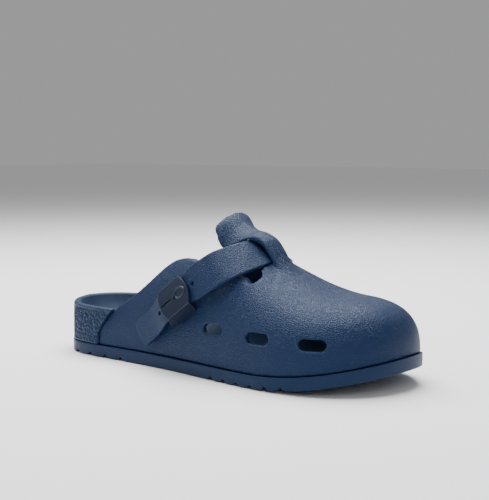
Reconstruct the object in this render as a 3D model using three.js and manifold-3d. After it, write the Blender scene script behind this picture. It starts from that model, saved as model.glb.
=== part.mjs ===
// Rubber garden clog, right foot: moulded upper on a contoured footbed and a ribbed outsole,
// with an instep strap that runs under a bridge and is held by a pin buckle.
// Millimetres. +X to the toe, +Y to the inner (medial) side, +Z up, floor at z = 0.
import * as THREE from "three";
import { mergeVertices } from "three/addons/utils/BufferGeometryUtils.js";
import Module from "manifold-3d";

const wasm = await Module();
wasm.setup();

// Overall sizes
const length = 286;
const ballWidth = 109.6; // widest place, across the joints of the toes
const instepHeight = 89; // top of the shell over the instep
const toeBoxHeight = 57; // top of the shell over the toes
const toeSpring = 13.2; // lift of the sole at the tip
const gap = 0.3; // between touching pieces
const run = 0.08; // radial clearance of a turning fit

// Sole
const soleThickness = 8.8;
const treadDepth = 2.4;
const foreRibPitch = 12;
const foreRibCount = 6;
const foreRibStart = 0.154; // first groove, as a place along the foot
const heelRibPitch = 16;
const heelRibCount = 4;
const heelRibStart = -0.83;
const flange = 1.5; // sole edge shown outside the shell

// Footbed
const heelRimHeight = 38.8;
const rimFall = 0.014; // drop of the rim per millimetre forwards
const rimLip = 5;
const rimInset = 0.2; // heel wall set in from the sole edge
const medialRise = 1.2; // rim higher on the arch side
const heelFloor = 17;
const toeFloor = 16;
const foreRimHeight = 22; // rim inside the toe box, less the toe spring

// Upper
const wall = 4;
const ventLength = 18;
const ventHeight = 6.9;
const vents = [[0.146, 33.4], [0.424, 32.3], [0.703, 31.8]]; // place along the foot, level

// Bridge and tongue, one raised ribbon that grows out of the vamp
const bridgeHalfWidth = 9.5;
const tongueHalfWidth = 21.3;
const tongueThickness = 3.6;
const bridgeThickness = 3.2;

// Strap
const strapThickness = 2.8;
const strapWidth = 25;
const shoulderStrapWidth = 26.4; // where it comes over the lateral shoulder
const bridgeStrapWidth = 24;
const strapEndWidth = 20.4; // through the buckle and at the free end
const strapHoleRadius = 1.4;
const strapHolePitch = 8;
const slotRear = 5.2; // the hole in use, drawn out long by the prong, behind the pin
const slotFront = 3; // and before it

const buckleStandoff = 1.5; // of the buckle's frame from the shell
const buckleTurn = 5; // degrees that it faces forward of the shell there

// Buckle, in its own frame: s along the strap to its free end, t across, n away from the shell
const pinAt = 11; // s of the hinge
const pinHeight = 2.3; // n of the hinge
const pinRadius = 0.8;
const anchorLength = 18;
const anchorWidth = 12.4;
const anchorThickness = 1.2;
const studRadius = 2;
const knuckleRadius = 1.6;
const knuckleWidth = 3.4;
const eyeWidth = 2.6; // prong's eye, between the knuckles
const eyeRadius = 1.5;
const strapLift = 4.2; // n of the strap's inner face at the buckle
const plateClearance = 0.8; // between strap and plate
const plateThickness = 1.9;
const plateWidth = 22.2;
const plateRear = 14; // reach of the plate towards the bridge, from s = 0
const plateFront = 13; // and towards the strap's free end
const plateEndBow = 3;
const frameBaseWidth = 28.4;
const frameFoot = 0.6; // n of the side walls' lower edge
const sideWall = 1.4;
const prongWidth = 1.5;
const prongThickness = 1.2;
const prongSide = 0.3; // clearance beside the prong
const prongLift = 0.55; // and below it, over the strap
const tipReach = -1.9; // s of the prong's tip
const knobRadius = 1.3; // knob of the prong's tip, over the plate
const knobHeight = 0.9;
const wallSlant = 2.4; // of the side walls' ends

// Fixed end of the strap on the medial side
const strapRest = 0.9; // n of the strap's inner face at the rivet
const rivetHeadRadius = 6;
const rivetHeadHeight = 2.2;
const rivetShankRadius = 2;
const washerRadius = 5.6;
const washerThickness = 1.4;

const X = new THREE.Vector3(1, 0, 0);
const Y = new THREE.Vector3(0, 1, 0);
const Z = new THREE.Vector3(0, 0, 1);
const v3 = (x, y, z) => new THREE.Vector3(x, y, z);
const halfLength = length / 2;
const along = (u) => u * halfLength; // -1 heel, 1 toe tip

// ---------- solids

function toSolid(geometry) {
  const bare = geometry.index ? geometry.clone() : geometry;
  for (const name of ["normal", "uv", "uv1"]) bare.deleteAttribute(name);
  const merged = mergeVertices(bare, 1e-4);
  const index = Array.from(merged.index.array);
  const kept = [];
  for (let i = 0; i < index.length; i += 3) {
    const [a, b, c] = index.slice(i, i + 3);
    if (a !== b && b !== c && c !== a) kept.push(a, b, c);
  }
  return new wasm.Manifold(new wasm.Mesh({
    numProp: 3,
    vertProperties: new Float32Array(merged.attributes.position.array),
    triVerts: new Uint32Array(kept),
  }));
}

function toGeometry(solid) {
  const mesh = solid.getMesh();
  const geometry = new THREE.BufferGeometry();
  geometry.setAttribute("position", new THREE.BufferAttribute(mesh.vertProperties, 3));
  geometry.setIndex(new THREE.BufferAttribute(mesh.triVerts, 1));
  geometry.computeVertexNormals();
  return geometry;
}

// Skin over closed rings of points; each ring runs the same way round, seen from the last ring.
function loft(rings) {
  const positions = [];
  const index = [];
  const size = rings[0].length;
  for (const ring of rings) for (const p of ring) positions.push(p.x, p.y, p.z);
  for (let i = 0; i + 1 < rings.length; i++) {
    for (let j = 0; j < size; j++) {
      const a = i * size + j;
      const b = i * size + (j + 1) % size;
      index.push(a, b, b + size, a, b + size, a + size);
    }
  }
  const last = (rings.length - 1) * size;
  for (let j = 1; j + 1 < size; j++) {
    index.push(0, j + 1, j);
    index.push(last, last + j, last + j + 1);
  }
  const geometry = new THREE.BufferGeometry();
  geometry.setAttribute("position", new THREE.Float32BufferAttribute(positions, 3));
  geometry.setIndex(index);
  const solid = toSolid(geometry);
  if (solid.volume() > 0) return solid;
  for (let i = 0; i < index.length; i += 3) [index[i], index[i + 1]] = [index[i + 1], index[i]];
  geometry.setIndex(index);
  return toSolid(geometry);
}

// Flat outline pushed along its normal; the matrix places it.
function prism(shape, depth, matrix, curveSegments = 12) {
  const geometry = new THREE.ExtrudeGeometry(shape, { depth, bevelEnabled: false, curveSegments });
  geometry.applyMatrix4(matrix);
  return toSolid(geometry);
}

function placed(geometry, matrix) {
  geometry.applyMatrix4(matrix);
  return toSolid(geometry);
}

function box(sizeX, sizeY, sizeZ, x, y, z, matrix) {
  const geometry = new THREE.BoxGeometry(sizeX, sizeY, sizeZ);
  geometry.translate(x, y, z);
  return placed(geometry, matrix);
}

// Round bar from n0 to n1 along the frame's third axis
function post(radius, n0, n1, s, matrix, segments = 20) {
  const geometry = new THREE.CylinderGeometry(radius, radius, n1 - n0, segments);
  geometry.rotateX(Math.PI / 2);
  geometry.translate(s, 0, (n0 + n1) / 2);
  return placed(geometry, matrix);
}

// ---------- plan and height of the foot

// Outline of the sole, heel to toe: place along the foot, then outer and inner half widths
// as shares of half the ball width.
const planStations = [
  [-0.976, 0.256, 0.265], [-0.93, 0.438, 0.438], [-0.853, 0.593, 0.566], [-0.734, 0.668, 0.63],
  [-0.559, 0.693, 0.648], [-0.35, 0.72, 0.666], [-0.105, 0.785, 0.72], [0.14, 0.894, 0.82],
  [0.35, 0.976, 0.94], [0.524, 1, 1], [0.7, 0.921, 0.98], [0.825, 0.748, 0.882],
  [0.916, 0.511, 0.695], [0.976, 0.2, 0.49],
];
const heelTip = v3(along(-1), 0.02 * ballWidth / 2, 0);
const toeTip = v3(along(1), 0.19 * ballWidth / 2, 0);
const outer = planStations.map(([u, w]) => v3(along(u), -w * ballWidth / 2, 0));
const inner = planStations.map(([u, , w]) => v3(along(u), w * ballWidth / 2, 0)).reverse();
const planCurve = new THREE.CatmullRomCurve3([heelTip, ...outer, toeTip, ...inner], true, "centripetal");
const planPoints = planCurve.getPoints(600).slice(0, -1);

// The outline moved in by a distance, split into its two sides as y over x.
function sides(inset) {
  const count = planPoints.length;
  const moved = planPoints.map((p, i) => {
    const t = planPoints[(i + 1) % count].clone().sub(planPoints[(i + count - 1) % count]).normalize();
    return v3(p.x - t.y * inset, p.y + t.x * inset, 0);
  });
  let heel = 0;
  let toe = 0;
  moved.forEach((p, i) => {
    if (p.x < moved[heel].x) heel = i;
    if (p.x > moved[toe].x) toe = i;
  });
  const turn = (from, to) => {
    const list = [];
    for (let i = from; i !== to; i = (i + 1) % count) list.push(moved[i]);
    return [...list, moved[to]];
  };
  return { low: moved[heel], high: moved[toe], lateral: turn(heel, toe), medial: turn(toe, heel).reverse() };
}

function heightOn(line, x) {
  let i = 1;
  while (i < line.length - 1 && line[i].x < x) i++;
  const a = line[i - 1];
  const b = line[i];
  const k = b.x === a.x ? 0 : THREE.MathUtils.clamp((x - a.x) / (b.x - a.x), 0, 1);
  return a.y + (b.y - a.y) * k;
}

const springStart = along(0.35);
const spring = (x) => toeSpring * (Math.max(0, x - springStart) / (halfLength - springStart)) ** 2;
const rimLine = (x) => soleThickness + spring(x);

// Crown of the shell over the centre line, as shares of the way from toe box to instep height
const crownStations = [
  [-0.7, 0.36], [-0.42, 0.72], [-0.21, 0.91], [-0.07, 1], [0.07, 1], [0.175, 0.908],
  [0.28, 0.669], [0.385, 0.435], [0.49, 0.208], [0.594, 0.044], [0.68, 0],
];
const crownCurve = new THREE.SplineCurve(crownStations.map(([u, k]) =>
  new THREE.Vector2(along(u), toeBoxHeight + (instepHeight - toeBoxHeight) * k)));
const crownPoints = crownCurve.getPoints(200).map((p) => v3(p.x, p.y, 0));
const crown = (x) => heightOn(crownPoints, x);

// The crown line is shorter than the sole: each end leans in.
const leanIn = 0.45;
const frontLean = along(0.28);
const rearLean = along(-0.42);
function spineX(x) {
  const front = Math.max(0, x - frontLean) ** 2 / (halfLength - frontLean);
  const rear = Math.max(0, rearLean - x) ** 2 / (halfLength + rearLean);
  return x - leanIn * front + leanIn * rear;
}
const spineY = (x) => 2 + 4.6 * THREE.MathUtils.smoothstep(x, along(0.14), along(0.68));

// Fullness of the section, round at the instep and boxier at the toe
function fullness(side, x, roundEnd) {
  const k = THREE.MathUtils.clamp((x - along(0.14)) / along(0.54), 0, 1);
  const lateral = 2.2 + 0.5 * k;
  const medial = 2.1 + 0.59 * k * k;
  const mean = (lateral + medial) / 2;
  return THREE.MathUtils.lerp(mean, side < 0 ? lateral : medial, roundEnd);
}

// Stations from heel to toe of a form whose plan is the sole's, moved in by inset
function stations(inset, count) {
  const plan = sides(inset);
  const middle = (plan.low.x + plan.high.x) / 2;
  const half = (plan.high.x - plan.low.x) / 2;
  const list = [];
  for (let i = 0; i <= count; i++) {
    const angle = Math.PI * i / count;
    const x = middle - half * Math.cos(angle);
    const end = i === 0 ? plan.low : plan.high;
    const tip = i === 0 || i === count;
    list.push({
      x,
      lateral: tip ? end.y : heightOn(plan.lateral, x),
      medial: tip ? end.y : heightOn(plan.medial, x),
      roundEnd: Math.min(1, 3 * Math.sin(angle)),
    });
  }
  return list;
}

// Point of the shell's outer form, moved out by offset; turn is 0 at the rim and 1 at the crown.
function formPoint(station, side, turn, offset) {
  const xs = spineX(station.x);
  const p = fullness(side, xs, station.roundEnd);
  const g = 1 - Math.cos(turn * Math.PI / 2) ** (2 / p);
  const h = Math.sin(turn * Math.PI / 2) ** (2 / p);
  const rimY = side < 0 ? station.lateral : station.medial;
  const base = rimLine(station.x);
  return v3(
    station.x * (1 - g) + xs * g,
    rimY * (1 - g) + spineY(xs) * g,
    base + (crown(xs) + offset - base) * h,
  );
}

// Closed solid of the outer form, its bottom at floor from the rim line
function form(offset, floor, stationCount = 34, turns = 9) {
  return loft(stations(flange - offset, stationCount).map((station) => {
    const ring = [];
    for (let j = 0; j <= turns; j++) ring.push(formPoint(station, -1, j / turns, offset));
    for (let j = turns - 1; j >= 0; j--) ring.push(formPoint(station, 1, j / turns, offset));
    ring[0].z = ring[2 * turns].z = rimLine(station.x) + floor;
    return ring;
  }));
}

// Place and outward normal on the outer form at a given x and z of one side
const fine = stations(flange, 160);
function onForm(side, x, z) {
  const at = (k, turn) => {
    const i = Math.min(fine.length - 2, Math.floor(k));
    const a = formPoint(fine[i], side, turn, 0);
    return a.lerp(formPoint(fine[i + 1], side, turn, 0), k - i);
  };
  let k = fine.length / 2;
  let turn = 0.3;
  for (let round = 0; round < 60; round++) {
    let low = 0;
    let high = 1;
    for (let i = 0; i < 30; i++) {
      turn = (low + high) / 2;
      if (at(k, turn).z < z) low = turn; else high = turn;
    }
    const here = at(k, turn);
    const step = at(Math.min(k + 1, fine.length - 1), turn).x - at(Math.max(k - 1, 0), turn).x;
    k = THREE.MathUtils.clamp(k + (x - here.x) / step * 2, 1, fine.length - 2);
  }
  const point = at(k, turn);
  const forward = at(k + 0.5, turn).sub(at(k - 0.5, turn));
  const up = at(k, turn + 0.01).sub(at(k, turn - 0.01));
  const normal = forward.cross(up).normalize();
  if (normal.y * side < 0) normal.negate();
  return { point, normal };
}

// Axes at a place on the form: third axis out of the shell, first axis as near dir as it can be
function frameAt({ point, normal }, dir) {
  const third = normal.clone();
  const first = dir.clone().addScaledVector(third, -dir.dot(third)).normalize();
  const second = third.clone().cross(first);
  return new THREE.Matrix4().makeBasis(first, second, third).setPosition(point);
}

// ---------- outsole

// Cusp between two round ribs, cut right across
function soleGroove(x, pitch) {
  const half = 0.46 * pitch;
  const level = spring(x);
  const shape = new THREE.Shape();
  shape.moveTo(x - half, level - 1);
  shape.lineTo(x - half, level - 0.02);
  shape.quadraticCurveTo(x - 0.25 * half, level, x, level + treadDepth);
  shape.quadraticCurveTo(x + 0.25 * half, level, x + half, level - 0.02);
  shape.lineTo(x + half, level - 1);
  return prism(shape, 2 * ballWidth, new THREE.Matrix4().makeRotationX(Math.PI / 2)
    .setPosition(0, ballWidth, 0), 4);
}

function makeOutsole() {
  const edgeRound = 0.8;
  const rings = stations(0, 40).map((s) => {
    const top = rimLine(s.x);
    const low = spring(s.x);
    const mid = (s.lateral + s.medial) / 2;
    const pull = (y, d) => y + Math.sign(mid - y) * Math.min(d, Math.abs(mid - y));
    return [
      v3(s.x, pull(s.lateral, edgeRound), low), v3(s.x, s.lateral, low + edgeRound),
      v3(s.x, s.lateral, top), v3(s.x, s.medial, top),
      v3(s.x, s.medial, low + edgeRound), v3(s.x, pull(s.medial, edgeRound), low),
    ];
  });
  let solid = loft(rings);
  for (let i = 0; i < foreRibCount; i++) {
    solid = solid.subtract(soleGroove(along(foreRibStart) + i * foreRibPitch, foreRibPitch));
  }
  for (let i = 0; i < heelRibCount; i++) {
    solid = solid.subtract(soleGroove(along(heelRibStart) + i * heelRibPitch, heelRibPitch));
  }
  return solid;
}

// ---------- mouth of the upper, as a side outline cut straight across

const keyhole = new THREE.Vector2(along(0.296), 68.2);
const keyholeRadius = 3.7;
function mouthShape(shift) {
  const edge = [[-0.66, 9.8], [-0.652, 18.6], [-0.61, 28], [-0.55, 37], [-0.4, 52.2], [-0.26, 70.8],
    [-0.19, 76], [-0.11, 76.6]];
  const shape = new THREE.Shape();
  shape.moveTo(-length, -10);
  shape.lineTo(along(edge[0][0]) + shift, -10);
  shape.lineTo(along(edge[0][0]) + shift, edge[0][1]);
  shape.splineThru(edge.slice(1).map(([u, z]) => new THREE.Vector2(along(u) + shift, z)));
  shape.lineTo(along(0.1), 74.4);
  shape.lineTo(keyhole.x - 2 * keyholeRadius, keyhole.y + 3);
  shape.absarc(keyhole.x, keyhole.y, keyholeRadius, 0.9 * Math.PI, 2.15 * Math.PI, false);
  shape.lineTo(keyhole.x, keyhole.y + keyholeRadius + 0.6);
  shape.lineTo(keyhole.x - 1.2, keyhole.y + 6);
  shape.lineTo(keyhole.x - 1.2, 2 * instepHeight);
  shape.lineTo(-length, 2 * instepHeight);
  return shape;
}
function mouthCut(shift = 0) {
  return prism(mouthShape(shift), 2 * ballWidth, new THREE.Matrix4().makeRotationX(Math.PI / 2)
    .setPosition(0, ballWidth, 0), 6);
}

// ---------- footbed

function makeFootbed(cavity) {
  const band = form(4, -4, 34, 7).subtract(form(-wall - gap, -8)).subtract(mouthCut(-2 * gap));
  const rings = stations(rimInset, 36).map((s) => {
    const xs = spineX(s.x);
    const k = THREE.MathUtils.smoothstep(s.x, along(-0.54), along(0.2));
    const heelRim = heelRimHeight - rimFall * (s.x + halfLength);
    const rim = THREE.MathUtils.lerp(heelRim, foreRimHeight + spring(s.x), k);
    const floor = THREE.MathUtils.lerp(heelFloor, toeFloor, k) + spring(xs);
    const bottom = rimLine(s.x) + gap;
    const across = (side, w, z) => v3(
      THREE.MathUtils.lerp(s.x, xs, w),
      THREE.MathUtils.lerp(side < 0 ? s.lateral : s.medial, spineY(xs), w), z);
    const lip = rimLip / 38;
    const half = (side) => {
      const top = rim + (side < 0 ? -medialRise : 0) * s.roundEnd;
      const list = [across(side, 0, bottom), across(side, 0.01, top), across(side, lip, top)];
      for (let j = 1; j <= 7; j++) {
        const w = j / 7;
        list.push(across(side, lip + (1 - lip) * w, floor + (top - floor) * (1 - w) ** 2.6));
      }
      return list;
    };
    return [...half(-1), ...half(1).reverse().slice(1)];
  });
  return loft(rings).subtract(band);
}

// ---------- strap route

const buckleSpot = onForm(-1, along(-0.08), 49.2);
const buckleNormal = buckleSpot.normal.clone().applyAxisAngle(Z, THREE.MathUtils.degToRad(buckleTurn));
const buckleFrame = frameAt({
  point: buckleSpot.point.clone().addScaledVector(buckleNormal, buckleStandoff),
  normal: buckleNormal,
}, v3(-0.77, -0.1, -0.63));
const rivetSpot = onForm(1, along(0.05), 45);
const rivetFrame = frameAt(rivetSpot, v3(-0.15, 0, -1));

const fromBuckle = (s, t, n) => v3(s, t, n).applyMatrix4(buckleFrame);
const strapMid = strapThickness / 2;

// Centre line of the strap: place and outward direction, medial end to free end
function strapStops() {
  const overForm = (side, u, z, lift, width) => {
    const spot = onForm(side, along(u), z);
    return { place: spot.point.addScaledVector(spot.normal, lift + strapMid), out: spot.normal, width };
  };
  const atBuckle = (s, n, width = strapEndWidth) =>
    ({ place: fromBuckle(s, 0, n + strapMid), out: buckleNormal.clone(), width });
  const atRivet = (s) => ({
    place: v3(s, 0, strapRest + strapMid).applyMatrix4(rivetFrame),
    out: rivetSpot.normal.clone(),
    width: strapEndWidth,
  });
  const free = (u, y, z, out, width = bridgeStrapWidth) =>
    ({ place: v3(along(u), y, z), out: out.normalize(), width });
  return [
    atRivet(11),
    atRivet(0),
    atRivet(-8),
    overForm(1, 0.09, 62, 1.8, strapWidth),
    overForm(1, 0.15, 75, 2.8, strapWidth),
    free(0.222, 11, 83.4, v3(0.6, 0.36, 0.78)),
    free(0.232, -1, 84.6, v3(0.6, 0, 0.78)),
    free(0.235, -11, 83.4, v3(0.6, -0.36, 0.78)),
    free(0.137, -36.6, 74.6, v3(0.28, -0.77, 0.56), shoulderStrapWidth),
    atBuckle(-18, strapLift + 0.4, strapWidth),
    atBuckle(-11.5, strapLift),
    atBuckle(0, strapLift),
    atBuckle(13, strapLift),
    overForm(-1, -0.225, 33.2, 2.7, strapEndWidth),
    overForm(-1, -0.335, 21.6, 1.3, strapEndWidth),
  ];
}

function strapSolid(grow, steps = 56) {
  const stops = strapStops();
  const route = new THREE.CatmullRomCurve3(stops.map((s) => s.place), false, "centripetal");
  const outs = new THREE.CatmullRomCurve3(stops.map((s) => s.out), false, "catmullrom");
  const endRound = 4;
  const ends = [stops[0].place, stops[stops.length - 1].place];
  const rings = [];
  for (let i = 0; i <= steps; i++) {
    const t = i / steps;
    const centre = route.getPoint(t);
    const tangent = route.getTangent(t);
    const out = outs.getPoint(t);
    out.addScaledVector(tangent, -out.dot(tangent)).normalize();
    const across = out.clone().cross(tangent).normalize();
    const reach = Math.min(...ends.map((end) => centre.distanceTo(end)));
    const corner = reach < endRound ? endRound - Math.sqrt(endRound ** 2 - (endRound - reach) ** 2) : 0;
    const k = Math.min(t * (stops.length - 1), stops.length - 1 - 1e-6);
    const width = THREE.MathUtils.lerp(stops[Math.floor(k)].width, stops[Math.floor(k) + 1].width, k % 1);
    const half = width / 2 - corner + grow;
    const thick = strapThickness / 2 + grow;
    const edge = 0.6;
    const corners = [[-1, -1], [1, -1], [1, 1], [-1, 1]];
    const ring = [];
    for (const [a, n] of corners) {
      const spots = [[half - (a * n > 0 ? 0 : edge), thick - (a * n > 0 ? edge : 0)],
        [half - (a * n > 0 ? edge : 0), thick - (a * n > 0 ? 0 : edge)]];
      for (const [w, h] of spots) {
        ring.push(centre.clone().addScaledVector(across, a * w).addScaledVector(out, n * h));
      }
    }
    rings.push(ring);
  }
  return loft(rings);
}

function makeStrap() {
  let solid = strapSolid(0);
  const slot = new THREE.Shape();
  const slotHalf = prongWidth / 2 + 0.5;
  slot.absarc(pinAt + slotFront - slotHalf, 0, slotHalf, -Math.PI / 2, Math.PI / 2, false);
  slot.absarc(pinAt - slotRear + slotHalf, 0, slotHalf, Math.PI / 2, 1.5 * Math.PI, false);
  solid = solid.subtract(prism(slot, 12, buckleFrame.clone()
    .multiply(new THREE.Matrix4().makeTranslation(0, 0, 0.5)), 6));
  for (const s of [-2 * strapHolePitch - 2, -strapHolePitch - 2, 2 * strapHolePitch + 1]) {
    solid = solid.subtract(post(strapHoleRadius, 0.3, 14, s, buckleFrame, 12));
  }
  return solid.subtract(post(rivetShankRadius + gap, -4, 8, 0, rivetFrame));
}

// ---------- upper

function makeRibbon() {
  const y = -0.5;
  const bridge = { half: bridgeHalfWidth, thick: bridgeThickness };
  const tongue = { half: tongueHalfWidth, thick: tongueThickness };
  const at = (u, z, drop, shape = bridge) => ({ place: v3(along(u), y, z), drop, ...shape });
  const profile = [
    at(0.455, crown(along(0.455)) - 1.1, 0.6, { half: 8, thick: 2 }),
    at(0.4, crown(along(0.4)) + 0.6, 0.9, { half: 8.8, thick: 3.6 }),
    at(0.36, 75.2, 1.3, { half: bridgeHalfWidth, thick: 3.8 }),
    at(0.332, 80, 1.8),
    at(0.308, 85.6, 2.2),
    at(0.27, 92.2, 2.4),
    at(0.213, 96.4, 2.6, { half: bridgeHalfWidth + 0.5, thick: bridgeThickness }),
    at(0.17, 97.9, 6.5, { half: bridgeHalfWidth + 4.5, thick: bridgeThickness }),
    at(0.15, 98.7, 11, { half: tongueHalfWidth - 2.8, thick: tongueThickness, tilt: 0.5 }),
    at(0.135, 99.6, 13, { half: tongueHalfWidth - 0.8, thick: tongueThickness, tilt: 1 }),
    at(0.103, 102.2, 13, { ...tongue, tilt: 1.5 }),
    at(0.07, 106, 9.8, { ...tongue, tilt: 2 }),
    at(0.045, 108.5, 7, { half: tongueHalfWidth - 1, thick: 3.4, tilt: 2 }),
    at(0.032, 109.6, 5.6, { half: tongueHalfWidth - 3, thick: 3, tilt: 2 }),
  ];
  const across = 8;
  return loft(profile.map((stop, i) => {
    const before = profile[Math.max(0, i - 1)].place;
    const after = profile[Math.min(profile.length - 1, i + 1)].place;
    const tangent = after.clone().sub(before).normalize();
    const out = Y.clone().cross(tangent);
    if (out.z < 0) out.negate();
    const sag = stop.drop > 4.5 ? v3(0.27, 0, 0.96) : out;
    const spot = (k, level) => stop.place.clone().addScaledVector(Y, stop.half * k)
      .addScaledVector(out, level).addScaledVector(sag, (stop.tilt ?? 0) * k - stop.drop * k * k);
    const ring = [];
    for (let j = 0; j <= across; j++) ring.push(spot(-1 + 2 * j / across, 0));
    for (let j = across; j >= 0; j--) ring.push(spot(-1 + 2 * j / across, -stop.thick));
    return ring;
  }));
}

function ventCutter(side, u, level) {
  const spot = onForm(side, along(u), level);
  const frame = frameAt({ point: spot.point, normal: v3(spot.normal.x, spot.normal.y, 0).normalize() }, X);
  const radius = ventHeight / 2;
  const reach = ventLength / 2 - radius;
  const shape = new THREE.Shape();
  shape.absarc(reach, 0, radius, -Math.PI / 2, Math.PI / 2, false);
  shape.absarc(-reach, 0, radius, Math.PI / 2, 1.5 * Math.PI, false);
  return prism(shape, 24, frame.multiply(new THREE.Matrix4().makeTranslation(0, 0, -14)), 8);
}

function makeUpper(strapRoom) {
  let solid = form(0, gap).subtract(form(-wall, -6)).subtract(mouthCut());
  for (const [u, level] of vents) {
    for (const side of [-1, 1]) solid = solid.subtract(ventCutter(side, u, level));
  }
  solid = solid.subtract(post(studRadius + gap, -8, 4, 0, buckleFrame));
  solid = solid.subtract(post(rivetShankRadius + gap, -8, 4, 0, rivetFrame));
  return solid.add(makeRibbon()).subtract(strapRoom);
}

// ---------- buckle

const plateUnder = strapLift + strapThickness + plateClearance;
const plateTop = plateUnder + plateThickness;

// Round bar across the buckle, on the hinge line
function crossBar(radius, width, t, segments = 20) {
  const bar = new THREE.CylinderGeometry(radius, radius, width, segments);
  bar.translate(pinAt, t, pinHeight);
  return placed(bar, buckleFrame);
}

function makeAnchor() {
  const top = gap + anchorThickness;
  const deep = anchorThickness + 4;
  const middle = pinAt + knuckleRadius - anchorLength / 2;
  const stud = post(studRadius, -buckleStandoff - wall - washerThickness - 3 * gap, top - gap, 0, buckleFrame);
  let solid = box(anchorLength, anchorWidth, deep, middle, 0, top - deep / 2, buckleFrame);
  for (const side of [-1, 1]) {
    const t = side * (eyeWidth / 2 + prongSide + knuckleWidth / 2);
    const root = pinHeight - top + 0.5;
    solid = solid.add(crossBar(knuckleRadius, knuckleWidth, t));
    solid = solid.add(box(2 * knuckleRadius, knuckleWidth, root, pinAt, t, pinHeight - root / 2, buckleFrame));
  }
  const eyeRoom = eyeRadius + prongSide;
  solid = solid.subtract(form(gap, -1)).subtract(crossBar(eyeRoom, eyeWidth + 2 * prongSide, 0));
  return solid.add(stud).subtract(crossBar(pinRadius + run, frameBaseWidth, 0));
}

function makeWasher(frame, hole, standoff = 0) {
  const blank = post(washerRadius, -standoff - wall - gap - washerThickness, 0, 0, frame);
  return blank.subtract(post(hole, -3 * wall, wall, 0, frame)).intersect(form(-wall - gap, -6));
}

// Side view in s and n, given its thickness across the buckle
function acrossBuckle(shape, width, t = 0) {
  const turned = new THREE.Matrix4().makeRotationX(Math.PI / 2).setPosition(0, t + width / 2, 0);
  return prism(shape, width, buckleFrame.clone().multiply(turned), 8);
}

function makeFrame() {
  const halfWidth = plateWidth / 2;
  const outline = new THREE.Shape();
  outline.moveTo(-plateRear + plateEndBow, -halfWidth);
  outline.lineTo(plateFront - plateEndBow, -halfWidth);
  outline.quadraticCurveTo(plateFront + plateEndBow, 0, plateFront - plateEndBow, halfWidth);
  outline.lineTo(-plateRear + plateEndBow, halfWidth);
  outline.quadraticCurveTo(-plateRear - plateEndBow, 0, -plateRear + plateEndBow, -halfWidth);
  const lift = new THREE.Matrix4().makeTranslation(0, 0, plateUnder);
  let solid = prism(outline, plateThickness, buckleFrame.clone().multiply(lift), 8);
  const halfBase = frameBaseWidth / 2;
  for (const side of [-1, 1]) {
    const wallShape = new THREE.Shape([
      new THREE.Vector2(side * halfWidth, plateTop), new THREE.Vector2(side * halfBase, frameFoot),
      new THREE.Vector2(side * (halfBase - sideWall), frameFoot),
      new THREE.Vector2(side * (halfWidth - sideWall), plateTop),
    ]);
    const reach = plateRear - plateEndBow + pinAt + 2;
    const turned = new THREE.Matrix4().makeBasis(Y, Z, X).setPosition(-plateRear + plateEndBow, 0, 0);
    solid = solid.add(prism(wallShape, reach, buckleFrame.clone().multiply(turned)));
  }
  // The side walls' ends slant in from the foot to the plate's corners.
  const wallZone = (frameBaseWidth - plateWidth) / 2 + sideWall + 0.2;
  for (const side of [-1, 1]) {
    const t = side * (frameBaseWidth + 1 - wallZone) / 2;
    const corner = plateFront - plateEndBow;
    const front = new THREE.Shape([
      new THREE.Vector2(corner, plateTop + 0.1), new THREE.Vector2(pinAt + 3, plateTop + 0.1),
      new THREE.Vector2(pinAt + 3, pinHeight + 2), new THREE.Vector2(pinAt + 2, pinHeight + 2),
    ]);
    const rear = new THREE.Shape([
      new THREE.Vector2(-plateRear, frameFoot - 0.1), new THREE.Vector2(-plateRear, plateTop),
      new THREE.Vector2(-plateRear + plateEndBow, plateTop),
      new THREE.Vector2(-plateRear + plateEndBow + wallSlant, frameFoot - 0.1),
    ]);
    for (const end of [front, rear]) solid = solid.subtract(acrossBuckle(end, wallZone + 1, t));
  }
  // The plate's free end is thinned below, so that it clears the strap as the frame lifts.
  const relief = new THREE.Shape([
    new THREE.Vector2(pinAt - 0.5, plateUnder), new THREE.Vector2(plateFront + 1, plateUnder - 1),
    new THREE.Vector2(plateFront + 1, plateUnder + 1.3),
  ]);
  solid = solid.subtract(acrossBuckle(relief, plateWidth - 2 * sideWall + 1));
  const slot = new THREE.Shape();
  const slotHalf = prongWidth / 2 + prongSide;
  const slotEnd = tipReach - prongSide + Math.sqrt(slotHalf ** 2 - (prongWidth / 2) ** 2);
  slot.absarc(slotEnd, 0, slotHalf, Math.PI / 2, 1.5 * Math.PI, false);
  slot.lineTo(plateFront + 2, -slotHalf);
  slot.lineTo(plateFront + 2, slotHalf);
  solid = solid.subtract(prism(slot, 2 * plateThickness + 2, buckleFrame.clone()
    .multiply(new THREE.Matrix4().makeTranslation(0, 0, plateUnder - 1)), 8));
  return solid.subtract(crossBar(pinRadius + run, frameBaseWidth + 2, 0));
}

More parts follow.
